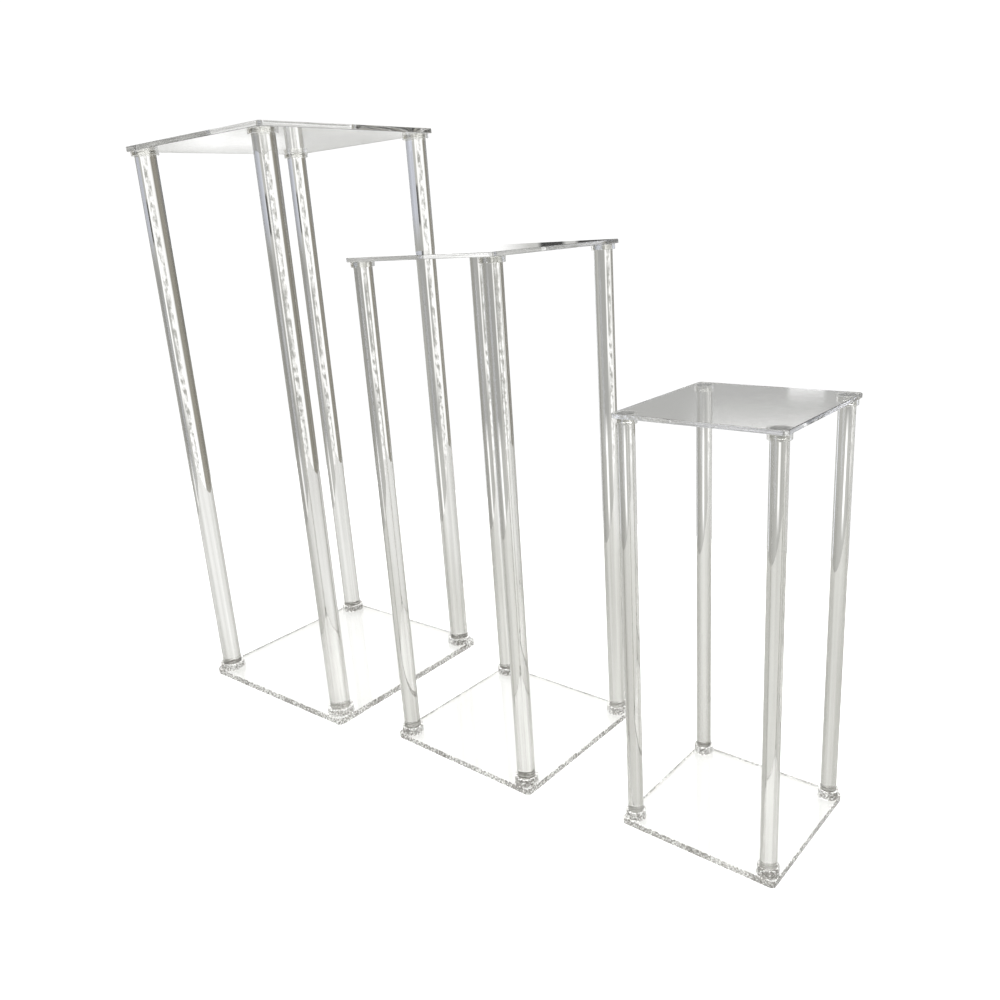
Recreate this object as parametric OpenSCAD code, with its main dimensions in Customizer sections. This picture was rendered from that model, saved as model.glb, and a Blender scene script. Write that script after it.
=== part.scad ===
// Set of three square display pedestals in clear acrylic: tall, medium and small.
// Each has a base plate and a top plate held apart by four solid round rods, one near
// each corner. Both ends of every rod stand in a round collar that is bonded to its plate.
// The pedestals stand in a straight row along X, tall one first; +Z is up and the
// origin is the middle of the row's footprint on the floor. Millimetres.

/* [Tall pedestal] */
// Overall height
tall_h = 1000; // [600:10:1400]
// Side of the square plates
tall_w = 375; // [250:5:500]
// Diameter of the rods
tall_rod_d = 36; // [20:1:60]
// Thickness of the top plate
tall_top_t = 8; // [4:0.5:15]
// Thickness of the base plate
tall_base_t = 12; // [5:0.5:20]

/* [Medium pedestal] */
// Overall height
medium_h = 800; // [500:10:1200]
// Side of the square plates
medium_w = 290; // [200:5:400]
// Diameter of the rods
medium_rod_d = 28; // [16:1:50]
// Thickness of the top plate
medium_top_t = 6; // [4:0.5:12]
// Thickness of the base plate
medium_base_t = 10; // [5:0.5:15]

/* [Small pedestal] */
// Overall height
small_h = 600; // [400:10:1000]
// Side of the square plates
small_w = 230; // [150:5:320]
// Diameter of the rods
small_rod_d = 22; // [12:1:40]
// Thickness of the top plate
small_top_t = 6; // [3:0.5:10]
// Thickness of the base plate
small_base_t = 10; // [4:0.5:12]

/* [Row] */
// Turn of the tall pedestal about its own middle, in degrees, as it was set down
tall_turn = 2; // [-10:0.5:10]
// Middle of the tall pedestal to the middle of the medium one
tall_to_medium = 450; // [350:5:800]
// Middle of the medium pedestal to the middle of the small one
medium_to_small = 407; // [300:1:700]

/* [Rods and collars] */
// Outside diameter of a collar, as a multiple of its rod's
collar_ratio = 1.28; // [1.15:0.01:1.6]
// Height of the collars under the top plates
top_collar_h = 8; // [5:1:25]
// Height of the collars on the base plates
base_collar_h = 12; // [5:1:30]
// Chamfer on the free rim of a collar
collar_chamfer = 0.8; // [0.3:0.1:2]
// Radial clearance of a rod in its collars
slip = 0.3; // [0.1:0.05:0.6]

/* [Plates] */
// Corner radius of a plate, as a multiple of the rod diameter
corner_ratio = 0.3; // [0.1:0.05:1]
// From a collar to the two plate edges beside it
edge_margin = 1; // [0.5:0.5:20]

/* [Hidden] */
$fn = 96;
seat_gap = 0.1;          // bond line or resting gap between two pieces
clear = [0.80, 0.81, 0.80, 0.35];
SIZES = ["tall", "medium", "small"];
CORNERS = ["front_left", "front_right", "rear_left", "rear_right"];
SIGNS = [[-1, -1], [1, -1], [-1, 1], [1, 1]];

height = [tall_h, medium_h, small_h];
width = [tall_w, medium_w, small_w];
rod_d = [tall_rod_d, medium_rod_d, small_rod_d];
top_t = [tall_top_t, medium_top_t, small_top_t];
base_t = [tall_base_t, medium_base_t, small_base_t];

corner_r = corner_ratio * rod_d;
turn = [tall_turn, 0, 0];

// Half of the row's length that pedestal i takes up, its turned corners included.
function half_extent(i) =
    (width[i] / 2 - corner_r[i]) * (cos(turn[i]) + sin(abs(turn[i]))) + corner_r[i];
row_len = half_extent(0) + tall_to_medium + medium_to_small + half_extent(2);
tall_x = half_extent(0) - row_len / 2;
place_x = [tall_x, tall_x + tall_to_medium, tall_x + tall_to_medium + medium_to_small];

function collar_d(i) = rod_d[i] * collar_ratio;
function post_reach(i) = width[i] / 2 - edge_margin - collar_d(i) / 2;

// Square plate with rounded corners, its underside at z = 0.
module plate(i, thickness) {
    side = width[i];
    straight = side - 2 * corner_r[i];
    color(clear)
        translate([0, 0, thickness / 2]) {
            cube([side, straight, thickness], center = true);
            cube([straight, side, thickness], center = true);
            for (sign = SIGNS)
                translate(straight / 2 * sign)
                    cylinder(r = corner_r[i], h = thickness, center = true);
        }
}

module base_plate(i)
    plate(i, base_t[i]);

module top_plate(i)
    translate([0, 0, height[i] - top_t[i]])
        plate(i, top_t[i]);

// Ring that stands on z = 0, with its chamfered free rim up.
module collar(i, h) {
    bore_r = rod_d[i] / 2 + slip;
    rim_r = collar_d(i) / 2;
    color(clear)
        rotate_extrude()
            polygon([
                [bore_r, 0], [rim_r, 0], [rim_r, h - collar_chamfer],
                [rim_r - collar_chamfer, h], [bore_r, h]
            ]);
}

module base_collar(i)
    translate([0, 0, base_t[i] + seat_gap])
        collar(i, base_collar_h);

module top_collar(i)
    translate([0, 0, height[i] - top_t[i] - seat_gap])
        mirror([0, 0, 1])
            collar(i, top_collar_h);

module rod(i) {
    length = height[i] - base_t[i] - top_t[i] - 2 * seat_gap;
    color(clear)
        translate([0, 0, base_t[i] + seat_gap])
            cylinder(d = rod_d[i], h = length);
}

for (i = [0:2]) translate([place_x[i], 0, 0]) rotate(turn[i]) {
    s = SIZES[i];
    base_plate(i);
    top_plate(i);
    for (k = [0:3]) translate(post_reach(i) * SIGNS[k]) {
        c = CORNERS[k];
        base_collar(i);
        rod(i);
        top_collar(i);
    }
}
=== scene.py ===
"""Clear acrylic display pedestals, tall, medium and small, on a pale studio floor.

Every CAD piece is replaced by a finer one of the same size: plates with polished,
bevelled rims, solid rods, and turned collars with a bead of cement. Metres, +Z up.
"""
import math

import bmesh
import bpy
from mathutils import Matrix, Vector


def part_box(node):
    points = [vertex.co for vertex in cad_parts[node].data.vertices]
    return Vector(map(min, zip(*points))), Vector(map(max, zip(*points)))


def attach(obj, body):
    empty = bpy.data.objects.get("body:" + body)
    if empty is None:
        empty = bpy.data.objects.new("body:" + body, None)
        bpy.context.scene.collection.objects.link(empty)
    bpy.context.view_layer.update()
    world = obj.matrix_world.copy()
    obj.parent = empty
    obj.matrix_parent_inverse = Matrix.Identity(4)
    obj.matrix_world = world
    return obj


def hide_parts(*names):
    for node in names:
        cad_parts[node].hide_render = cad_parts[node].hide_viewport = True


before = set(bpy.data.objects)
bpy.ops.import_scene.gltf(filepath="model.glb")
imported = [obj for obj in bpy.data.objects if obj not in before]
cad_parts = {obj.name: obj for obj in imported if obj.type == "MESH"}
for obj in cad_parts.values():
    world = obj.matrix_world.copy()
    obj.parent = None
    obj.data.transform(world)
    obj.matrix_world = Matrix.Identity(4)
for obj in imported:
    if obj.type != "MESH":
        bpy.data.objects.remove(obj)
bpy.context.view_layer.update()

MM = 0.001
SIZES = ("tall", "medium", "small")
CORNERS = ("front_left", "front_right", "rear_left", "rear_right")

# ---------------------------------------------------------------- sizes that the CAD boxes don't show
COLLAR_SLIP = 0.3 * MM                  # between a rod and its collar
CORNER_RATIO = 0.3                      # a plate's corner radius to its rods' diameter
TURN = {"tall": math.radians(2), "medium": 0.0, "small": 0.0}

# Details finer than the CAD model's.
PLATE_BEVEL = 0.9 * MM
ROD_BREAK = 0.4 * MM                    # the broken edge at a rod's end
RIM_ROUND = 0.8 * MM                    # a collar's free rim
BEAD = 0.8 * MM                         # the cement at a collar's foot

# A quarter turn, and the steps in round shapes.
QUARTER = math.pi / 2
TURNED_STEPS = 128
CORNER_STEPS = 12
BEVEL_STEPS = 4
RIM_STEPS = 5
BEAD_STEPS = 4

IOR = 1.49


# ---------------------------------------------------------------- node helpers
class Nodes:
    """Short calls for building a node tree."""

    def __init__(self, tree):
        self.tree = tree
        tree.nodes.clear()

    def add(self, kind, inputs=None, **settings):
        node = self.tree.nodes.new(kind)
        for key, value in settings.items():
            setattr(node, key, value)
        for key, value in (inputs or {}).items():
            self.put(node, key, value)
        return node

    def put(self, node, key, value):
        if isinstance(value, bpy.types.NodeSocket):
            self.tree.links.new(value, node.inputs[key])
        else:
            node.inputs[key].default_value = value

    def coords(self, scale=(1, 1, 1)):
        place = self.add("ShaderNodeTexCoord").outputs["Object"]
        return self.add("ShaderNodeMapping", {"Vector": place, "Scale": scale}).outputs[0]

    def noise(self, scale, detail, vector, roughness=0.5):
        inputs = {"Scale": scale, "Detail": detail, "Roughness": roughness, "Vector": vector}
        return self.add("ShaderNodeTexNoise", inputs).outputs["Fac"]

    def calculate(self, operation, a, b=0.0):
        return self.add("ShaderNodeMath", {0: a, 1: b}, operation=operation).outputs[0]

    def span(self, value, from_min, from_max, to_min, to_max):
        inputs = {"Value": value, "From Min": from_min, "From Max": from_max,
                  "To Min": to_min, "To Max": to_max}
        return self.add("ShaderNodeMapRange", inputs).outputs[0]

    def blend(self, factor, a, b):
        node = self.add("ShaderNodeMix", data_type="RGBA")
        self.put(node, 0, factor)
        self.put(node, 6, a)
        self.put(node, 7, b)
        return node.outputs[2]

    def bump(self, height, distance, strength, normal=None):
        inputs = {"Height": height, "Distance": distance, "Strength": strength}
        if normal is not None:
            inputs["Normal"] = normal
        return self.add("ShaderNodeBump", inputs).outputs[0]


def acrylic(name, colour, roughness, normal, clarity=1.0):
    """A clear acrylic material. What it is given are values, or functions of its Nodes."""
    material = bpy.data.materials.new(name)
    material.use_nodes = True
    n = Nodes(material.node_tree)

    def value(x):
        return x(n) if callable(x) else x

    shader = n.add("ShaderNodeBsdfPrincipled",
                   {"Base Color": value(colour), "Roughness": value(roughness), "IOR": IOR,
                    "Transmission Weight": value(clarity), "Normal": value(normal)})
    n.add("ShaderNodeOutputMaterial", {"Surface": shader.outputs[0]})
    return material


# ---------------------------------------------------------------- materials
def sheet_colour(n):
    """Nearly white, with faint clouds."""
    cloud = n.noise(6.0, 2.0, n.coords())
    return n.blend(cloud, (0.93, 0.93, 0.92, 1), (0.97, 0.97, 0.965, 1))


def sheet_roughness(n):
    """Polished, with a few smudges."""
    smudge = n.noise(14.0, 4.0, n.coords())
    return n.span(smudge, 0.45, 0.75, 0.0, 0.05)


def sheet_normal(n):
    """Fine scratches on a slightly wavy face."""
    scratch = n.noise(60.0, 2.0, n.coords((1, 30, 1)))
    wave = n.noise(9.0, 0.0, n.coords())
    return n.bump(wave, 0.0004, 0.2, n.bump(scratch, 0.00002, 0.3))


def painted_refraction_specks(n, dark, light):
    """Painted refraction: small dark and light dots, denser in some places than in others, standing
    in for the specks that the room makes when seen through rough acrylic.
    """
    dots = n.noise(330.0, 2.0, n.coords(), 0.6)
    clump = n.span(n.noise(30.0, 1.0, n.coords()), 0.35, 0.65, 0.05, -0.05)
    return n.blend(n.span(n.calculate("ADD", dots, clump), 0.45, 0.55, 0.0, 1.0), dark, light)


def haze(n):
    """Matt dots, from saw marks or from bubbles in the cement, in clear acrylic."""
    dots = n.noise(290.0, 2.0, n.coords(), 0.6)
    return n.span(dots, 0.44, 0.58, 0.15, 0.9)


def edge_colour(n):
    """Polishing lines that run along the edge."""
    line = n.noise(14.0, 3.0, n.coords((1, 1, 60)))
    amount = n.span(line, 0.35, 0.6, 0.0, 1.0)
    return n.blend(amount, (0.50, 0.50, 0.49, 1), (0.97, 0.97, 0.965, 1))


def edge_normal(n):
    """The slight waves that flame polishing leaves."""
    wave = n.noise(40.0, 1.0, n.coords())
    return n.bump(wave, 0.0002, 0.15)


def base_edge_colour(n):
    """Greyer than the top's edge, with painted refraction specks in clumps, standing in for those
    that the rough saw-cut edge shows.
    """
    return painted_refraction_specks(n, (0.30, 0.29, 0.27, 1), (0.97, 0.97, 0.95, 1))


def base_edge_normal(n):
    """Saw marks, hardly polished."""
    return n.bump(n.noise(330.0, 2.0, n.coords(), 0.6), 0.0008, 0.9)


def facing(n):
    """0 where a surface faces the ray, 1 where the ray only grazes it."""
    return n.add("ShaderNodeLayerWeight", {"Blend": 0.5}).outputs["Facing"]


def rod_colour(n):
    """Fine lengthwise streaks, partly lines from drawing the rod and partly painted reflections of
    upright bright and dark parts of the room, with painted shade that greys the rod towards the sides
    where the ray grazes it.
    """
    # Streaks: partly lines from drawing the rod, partly painted reflections of the room's upright
    # bright and dark parts.
    streak = n.span(n.noise(170.0, 3.0, n.coords((1, 1, 0.008))), 0.35, 0.65, 0.0, 1.0)
    # Painted shade: darker where the ray grazes the rod, standing in for the grey bands that light
    # bent inside the rod shows.
    side = n.span(facing(n), 0.12, 0.34, 0.0, 1.0)
    middle_streaks_and_painted_reflections = n.blend(streak, (0.70, 0.695, 0.675, 1), (0.98, 0.98, 0.965, 1))
    side_painted_shade = n.blend(streak, (0.42, 0.415, 0.39, 1), (0.72, 0.72, 0.70, 1))
    return n.blend(side, middle_streaks_and_painted_reflections, side_painted_shade)


def rod_roughness(n):
    """Less polished where the ray grazes the rod."""
    return n.span(facing(n), 0.5, 1.0, 0.01, 0.12)


def rod_normal(n):
    """Lengthwise lines from how the rod was drawn."""
    streak = n.noise(240.0, 2.0, n.coords((1, 1, 0.004)))
    return n.bump(streak, 0.0001, 0.6)


def collar_colour(n):
    """Nearly clear, with faint clouds."""
    return n.blend(n.noise(120.0, 2.0, n.coords()), (0.86, 0.86, 0.84, 1), (0.97, 0.97, 0.96, 1))


def cemented_colour(n):
    """Painted refraction specks in clumps, standing in for those that the rough cement shows."""
    return painted_refraction_specks(n, (0.36, 0.35, 0.33, 1), (0.97, 0.97, 0.96, 1))


def collar_normal(n):
    """Turning marks."""
    return n.bump(n.noise(300.0, 2.0, n.coords()), 0.0004, 0.5)


def cemented_normal(n):
    """The rough skin of dried cement."""
    return n.bump(n.noise(380.0, 2.0, n.coords(), 0.6), 0.0009, 1.0)


SHEET = acrylic("acrylic_sheet", sheet_colour, sheet_roughness, sheet_normal)
EDGE = acrylic("acrylic_edge", edge_colour, 0.01, edge_normal)
BASE_EDGE = acrylic("acrylic_base_edge", base_edge_colour, 0.05, base_edge_normal, haze)
ROD = acrylic("acrylic_rod", rod_colour, rod_roughness, rod_normal)
COLLAR = acrylic("acrylic_collar", collar_colour, 0.02, collar_normal)
CEMENTED = acrylic("acrylic_collar_cemented", cemented_colour, 0.04, cemented_normal, haze)


# ---------------------------------------------------------------- meshes
def make_piece(node, bm, materials, body):
    """The visual piece that replaces the CAD node, from a mesh in its place."""
    name = node + "_clear"
    bmesh.ops.recalc_face_normals(bm, faces=bm.faces)
    mesh = bpy.data.meshes.new(name)
    bm.to_mesh(mesh)
    bm.free()
    for material in materials:
        mesh.materials.append(material)
    piece = bpy.data.objects.new(name, mesh)
    bpy.context.scene.collection.objects.link(piece)
    piece.visible_shadow = False
    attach(piece, body)
    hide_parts(node)


def middle(node):
    """The centre and the extent of a CAD node's box."""
    low, high = (Vector(corner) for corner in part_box(node))
    return (low + high) / 2, high - low


def arc(start, end, steps):
    """Evenly spaced angles from start to end, both included."""
    return [start + (end - start) * i / steps for i in range(steps + 1)]


def rounded_square(side, radius):
    """Points around a square with rounded corners, anticlockwise."""
    points = []
    for quarter in range(4):
        turn = math.radians(90 * quarter)
        centre = Matrix.Rotation(turn, 2) @ Vector((side / 2 - radius,) * 2)
        for angle in arc(turn, turn + QUARTER, CORNER_STEPS):
            points.append(centre + radius * Vector((math.cos(angle), math.sin(angle))))
    return points


def bridge(bm, rings, material=0):
    """Smooth quads between each ring of vertices and the next."""
    for a, b in zip(rings, rings[1:]):
        for j in range(len(a)):
            k = (j + 1) % len(a)
            face = bm.faces.new((a[j], a[k], b[k], b[j]))
            face.smooth = True
            face.material_index = material


def sharpen(ring):
    """Marks the edges around a ring sharp, so that flat faces stay flat."""
    for j, vert in enumerate(ring):
        other = ring[(j + 1) % len(ring)]
        for edge in vert.link_edges:
            if edge.other_vert(vert) is other:
                edge.smooth = False


def cap_ends(bm, rings):
    """A flat face over the first ring and over the last."""
    bm.faces.new(list(reversed(rings[0])))
    bm.faces.new(rings[-1])


def plate_mesh(side, thickness, radius):
    """A sheet with bevelled rims: its faces are material 0 and its edge is material 1."""
    lower = [(PLATE_BEVEL * (1 - math.sin(a)), PLATE_BEVEL * (1 - math.cos(a)))
             for a in arc(0, QUARTER, BEVEL_STEPS)]
    upper = [(inset, thickness - z) for inset, z in reversed(lower)]
    bm = bmesh.new()
    rings = []
    for inset, z in lower + upper:
        outline = rounded_square(side - 2 * inset, radius - inset)
        rings.append([bm.verts.new((p.x, p.y, z - thickness / 2)) for p in outline])
    bridge(bm, rings, material=1)
    cap_ends(bm, rings)
    sharpen(rings[0])
    sharpen(rings[-1])
    return bm


def turned_rings(bm, profile):
    """One ring of vertices about Z for each (radius, z)."""
    angles = [2 * math.pi * i / TURNED_STEPS for i in range(TURNED_STEPS)]
    return [[bm.verts.new((radius * math.cos(a), radius * math.sin(a), z)) for a in angles]
            for radius, z in profile]


def turned_ring(profile, sharp):
    """A closed (radius, z) profile turned about Z, with the points in sharp kept sharp."""
    bm = bmesh.new()
    rings = turned_rings(bm, profile)
    bridge(bm, rings + rings[:1])
    for index in sharp:
        sharpen(rings[index])
    return bm


def turned_bar(profile):
    """A (radius, z) profile turned about Z, with a flat cap at each end."""
    bm = bmesh.new()
    rings = turned_rings(bm, profile)
    bridge(bm, rings)
    cap_ends(bm, rings)
    for ring in rings:
        sharpen(ring)
    return bm


def place(bm, centre, turn=0.0):
    """Turns a mesh about Z and moves its origin to centre."""
    bmesh.ops.transform(bm, matrix=Matrix.Translation(centre) @ Matrix.Rotation(turn, 4, "Z"),
                        verts=bm.verts)
    return bm


# ---------------------------------------------------------------- pieces
def rod_diameter(size):
    """The diameter of a pedestal's rods, which are all alike."""
    return middle(f"{size}_rod_front_left")[1].x


def plate_side(size, extent, radius):
    """The side of a plate whose turned box is extent wide."""
    spread = math.cos(TURN[size]) + math.sin(TURN[size])
    return 2 * ((extent / 2 - radius) / spread + radius)


def make_plate(size, level, body):
    node = f"{size}_{level}_plate"
    centre, extent = middle(node)
    radius = CORNER_RATIO * rod_diameter(size)
    bm = plate_mesh(plate_side(size, extent.x, radius), extent.z, radius)
    edge = EDGE if level == "top" else BASE_EDGE
    make_piece(node, place(bm, centre, TURN[size]), (SHEET, edge), body)


def make_rod(size, corner, body):
    node = f"{size}_rod_{corner}"
    centre, extent = middle(node)
    radius, half = extent.x / 2, extent.z / 2
    bm = turned_bar([(radius - ROD_BREAK, -half), (radius, -half + ROD_BREAK),
                     (radius, half - ROD_BREAK), (radius - ROD_BREAK, half)])
    make_piece(node, place(bm, centre), (ROD,), body)


def make_collar(size, level, corner, body):
    node = f"{size}_{level}_collar_{corner}"
    centre, extent = middle(node)
    outer, height = extent.x / 2, extent.z
    inner = rod_diameter(size) / 2 + COLLAR_SLIP
    top = [(outer - RIM_ROUND * (1 - math.cos(a)), height - RIM_ROUND * (1 - math.sin(a)))
           for a in arc(0, QUARTER, RIM_STEPS)]
    bead = [(outer + BEAD * (1 - math.sin(a)), BEAD * (1 - math.cos(a)))
            for a in arc(0, QUARTER, BEAD_STEPS)]
    profile = bead + top + [(inner, height), (inner, 0)]
    foot_and_bore = (0, len(profile) - 2, len(profile) - 1)
    bm = turned_ring([(r, z - height / 2) for r, z in profile], foot_and_bore)
    material = CEMENTED
    if level == "top":
        material = COLLAR
        bmesh.ops.transform(bm, matrix=Matrix.Rotation(math.pi, 4, "X"), verts=bm.verts)
    make_piece(node, place(bm, centre), (material,), body)


def make_pedestal(size):
    """The stand with its rods, and the top that lifts off them."""
    stand, top = f"{size}_stand", f"{size}_top"
    make_plate(size, "base", stand)
    make_plate(size, "top", top)
    for corner in CORNERS:
        make_collar(size, "base", corner, stand)
        make_rod(size, corner, stand)
        make_collar(size, "top", corner, top)


for size in SIZES:
    make_pedestal(size)


# ---------------------------------------------------------------- camera
CAMERA_PLACE = Vector((0.9687, -1.0172, 0.8333))
CAMERA_AZIMUTH = 41.8                   # degrees from -Y towards +X
CAMERA_PITCH = 17.22                    # degrees down
CAMERA_ROLL = -4.01                     # degrees
LENS = 32.05                            # millimetres
SENSOR = 36                             # millimetres


def make_camera():
    data = bpy.data.cameras.new("camera")
    data.lens = LENS
    data.sensor_width = SENSOR
    data.clip_start = 0.01
    data.clip_end = 200
    camera = bpy.data.objects.new("camera", data)
    bpy.context.scene.collection.objects.link(camera)
    turn = Matrix.Rotation(math.radians(CAMERA_AZIMUTH), 4, "Z")
    tilt = Matrix.Rotation(math.radians(90 - CAMERA_PITCH), 4, "X")
    roll = Matrix.Rotation(math.radians(CAMERA_ROLL), 4, "Z")
    camera.matrix_world = Matrix.Translation(CAMERA_PLACE) @ turn @ tilt @ roll
    bpy.context.scene.camera = camera


# ---------------------------------------------------------------- studio
WHITE = (1.05, 1.05, 1.05, 1)
FLOOR_WHITE = (0.92, 0.92, 0.92, 1)
# The floor as the acrylic passes it on: under a base plate, on the left and on the right.
FLOOR_UNDER = (0.48, 0.48, 0.475, 1)
FLOOR_LEFT = (0.53, 0.53, 0.525, 1)
FLOOR_RIGHT = (0.45, 0.45, 0.435, 1)
LEFT_END, RIGHT_START = -0.75, -0.45    # in X, with a gradual change between them
UNDER_SOFT = 0.02
PAPER = ((-2.0, 1.8), (-1.6, 1.0))      # the floor's extent in X and in Y
FLOOR_GAP = 0.5 * MM                    # the floor below the base plates

# The room that the acrylic sees: (azimuth from, to, elevation from, to, softness, colour), in
# degrees, the azimuth from the camera's. Each card is laid over the ones before it.
ROOM = (0.58, 0.58, 0.56, 1)
CARDS = (
    (-180, 180, 26, 91, 6, (1.05, 1.05, 1.05, 1)),      # ceiling
    (-180, 180, -91, -36, 4, (0.78, 0.78, 0.765, 1)),   # floor beyond the paper
    (-31, -7, -15, 20, 3, (1.35, 1.35, 1.35, 1)),       # bright wall on the left
    (-7, 0, -8, 20, 3, (1.35, 1.35, 1.35, 1)),          # and its upper part, further right
    (4, 30, -12, -2, 2, (0.44, 0.44, 0.43, 1)),         # grey wall behind the medium pedestal
    (14, 20, -18, -14, 2, (1.4, 1.4, 1.4, 1)),          # bright spot on the right
    (3, 28, 8, 18, 2, (0.47, 0.47, 0.46, 1)),           # grey wall on the right
    (28, 66, -24, -12, 4, (0.54, 0.54, 0.52, 1)),       # grey floor on the right
    (12, 75, 1, 7, 2, (0.72, 0.745, 0.84, 1)),          # cool light on the right
    (-120, -36, -14, 22, 2, (0.36, 0.34, 0.29, 1)),     # dark furniture on the left
    (65, 70, -30, 2, 2, (1.5, 1.55, 1.7, 1)),           # window on the far right
    (-108, -76, -5, 12, 2, (0.02, 0.02, 0.02, 1)),      # doorway on the left
    (-130, -110, -22, -4, 2, (2.4, 2.45, 2.8, 1)),      # window behind on the left
    (-10.5, -4, -6.5, -3.5, 1.2, (0.66, 0.66, 0.65, 1)),  # shelf
    (3.7, 4.9, 0.4, 2.4, 0.3, (0.02, 0.02, 0.02, 1)),   # dark frame
    (6.0, 9.5, 0.4, 2.4, 0.3, (0.02, 0.02, 0.02, 1)),   # dark frame
    (18.8, 20.6, 10.4, 11.1, 0.3, (1.4, 1.4, 1.4, 1)),  # lamp
)
# The part of the room that is seen through leaves, and how fine the leaves are per degree.
LEAVES = (-20, -6, -13, 8, 3)
LEAF = (0.50, 0.50, 0.475, 1)
LEAF_FINENESS = {"azimuth": 0.06, "elevation": 1.7}

MOST_BOUNCES = 32
ACRYLIC_BOUNCES = 24

SUN_STRENGTH = 2.6
SUN_SPREAD = math.radians(50)
SUN_PLACE = Vector((0, 0, 4))
SUN_AIM = Vector((0.2, 0.3, 0))


def seen_directly(n):
    """1 for rays straight from the camera, 0 for all others."""
    return n.add("ShaderNodeLightPath").outputs["Is Camera Ray"]


def window(n, value, low, high, soft):
    """1 where value is between low and high, falling to 0 over soft on both sides."""
    rise = n.span(value, low - soft, low, 0.0, 1.0)
    fall = n.span(value, high, high + soft, 1.0, 0.0)
    return n.calculate("MULTIPLY", rise, fall)


def floor_colour(n):
    """White to the camera. The acrylic sees greys, so that it shows on a white floor."""
    spot = n.add("ShaderNodeSeparateXYZ", {0: n.coords()}).outputs
    rightness = n.span(spot["X"], LEFT_END, RIGHT_START, 0.0, 1.0)
    passed_on = n.blend(rightness, FLOOR_LEFT, FLOOR_RIGHT)
    for size in SIZES:
        low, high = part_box(f"{size}_base_plate")
        under = n.calculate("MULTIPLY", window(n, spot["X"], low[0], high[0], UNDER_SOFT),
                            window(n, spot["Y"], low[1], high[1], UNDER_SOFT))
        passed_on = n.blend(under, passed_on, FLOOR_UNDER)
    return n.blend(seen_directly(n), passed_on, FLOOR_WHITE)


def make_floor():
    bm = bmesh.new()
    (left, right), (front, back) = PAPER
    corners = ((left, front), (right, front), (right, back), (left, back))
    bm.faces.new([bm.verts.new((x, y, -FLOOR_GAP)) for x, y in corners])
    mesh = bpy.data.meshes.new("floor")
    bm.to_mesh(mesh)
    bm.free()
    floor = bpy.data.objects.new("floor", mesh)
    bpy.context.scene.collection.objects.link(floor)
    material = bpy.data.materials.new("studio_floor")
    material.use_nodes = True
    n = Nodes(material.node_tree)
    shader = n.add("ShaderNodeBsdfDiffuse", {"Color": floor_colour(n)})
    n.add("ShaderNodeOutputMaterial", {"Surface": shader.outputs[0]})
    mesh.materials.append(material)


def room_colour(n):
    """A grey room of bright and dark cards, part of it seen through leaves."""
    direction = n.add("ShaderNodeTexCoord").outputs["Generated"]
    turn = math.radians(CAMERA_AZIMUTH)

    def along(x, y, z):
        return n.add("ShaderNodeVectorMath", {0: direction, 1: (x, y, z)},
                     operation="DOT_PRODUCT").outputs["Value"]

    right = along(math.cos(turn), math.sin(turn), 0)
    ahead = along(-math.sin(turn), math.cos(turn), 0)
    azimuth = n.calculate("DEGREES", n.calculate("ARCTAN2", right, ahead))
    elevation = n.calculate("DEGREES", n.calculate("ARCSINE", along(0, 0, 1)))

    def card(az_low, az_high, el_low, el_high, soft):
        return n.calculate("MULTIPLY", window(n, azimuth, az_low, az_high, soft),
                           window(n, elevation, el_low, el_high, soft))

    room = ROOM
    for *extent, colour in CARDS:
        room = n.blend(card(*extent), room, colour)
    spot = n.add("ShaderNodeCombineXYZ", {
        "X": n.calculate("MULTIPLY", azimuth, LEAF_FINENESS["azimuth"]),
        "Y": n.calculate("MULTIPLY", elevation, LEAF_FINENESS["elevation"])}).outputs[0]
    leaves = n.span(n.noise(1.0, 4.0, spot, 0.65), 0.42, 0.60, 0.0, 1.0)
    return n.blend(n.calculate("MULTIPLY", card(*LEAVES), leaves), room, LEAF)


def make_world():
    """White to the camera. The acrylic sees the room instead."""
    world = bpy.data.worlds.new("studio")
    world.use_nodes = True
    n = Nodes(world.node_tree)
    colour = n.blend(seen_directly(n), room_colour(n), WHITE)
    shader = n.add("ShaderNodeBackground", {"Color": colour, "Strength": 1.0})
    n.add("ShaderNodeOutputWorld", {"Surface": shader.outputs[0]})
    bpy.context.scene.world = world


def let_light_through():
    """Enough bounces for light that runs along inside a plate to reach its edge."""
    cycles = bpy.context.scene.cycles
    cycles.max_bounces = MOST_BOUNCES
    cycles.glossy_bounces = ACRYLIC_BOUNCES
    cycles.transmission_bounces = ACRYLIC_BOUNCES


def make_sun():
    """Soft light from above for the floor and for the matt dots in the cement."""
    data = bpy.data.lights.new("ceiling", "SUN")
    data.energy = SUN_STRENGTH
    data.angle = SUN_SPREAD
    light = bpy.data.objects.new("ceiling", data)
    bpy.context.scene.collection.objects.link(light)
    light.location = SUN_PLACE
    light.rotation_euler = (SUN_AIM - SUN_PLACE).to_track_quat("-Z", "Y").to_euler()


make_camera()
make_floor()
make_world()
make_sun()
let_light_through()
bpy.context.scene.view_settings.view_transform = "Standard"
